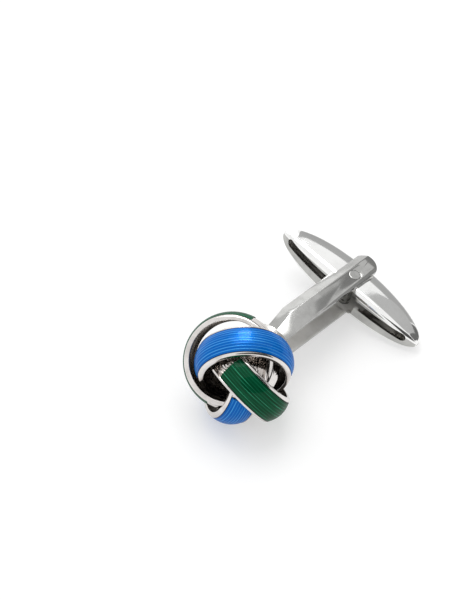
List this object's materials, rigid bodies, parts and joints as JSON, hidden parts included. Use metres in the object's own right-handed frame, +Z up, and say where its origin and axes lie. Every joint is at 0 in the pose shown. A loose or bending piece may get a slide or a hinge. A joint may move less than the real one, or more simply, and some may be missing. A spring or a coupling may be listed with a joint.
{
  "type": "knot cufflink",
  "caption": "Cufflink with a knot of linked enamelled ribbon rings, a channel post and a sprung toggle bar that folds into the post to pass through a cuff.",
  "frame": {"origin": "on the table, under the middle of the cufflink's bounding box as it lies", "axes": "+Z up from the table, +X level along the post from the knot to the toggle, +Y level towards the raised end of the toggle bar"},
  "size_m": [0.028, 0.02, 0.0127],
  "materials": {
    "plated_metal": "bright polished plating",
    "blue_enamel": "glossy translucent enamel over fine ribs",
    "green_enamel": "glossy translucent enamel over fine ribs",
    "spring_steel": "bright strip"
  },
  "bodies": {
    "link": {"ribbon_green_1": "plated_metal", "ribbon_blue_1": "plated_metal", "ribbon_green_2": "plated_metal", "ribbon_blue_2": "plated_metal", "enamel_green_1": "green_enamel", "enamel_blue_1": "blue_enamel", "enamel_green_2": "green_enamel", "enamel_blue_2": "blue_enamel", "knot_base": "plated_metal", "post_channel": "plated_metal", "hinge_pin": "plated_metal"},
    "toggle": {"toggle_shell": "plated_metal", "toggle_spring": "spring_steel"}
  },
  "joints": [
    {"name": "toggle_turn", "type": "hinge", "parent": "link", "child": "toggle", "pos_m": [0.00993, 0, 0.00319], "axis": [-0.159, 0.206, -0.9655], "range_deg": [0, 90], "deforming": ["toggle_spring"]}
  ]
}
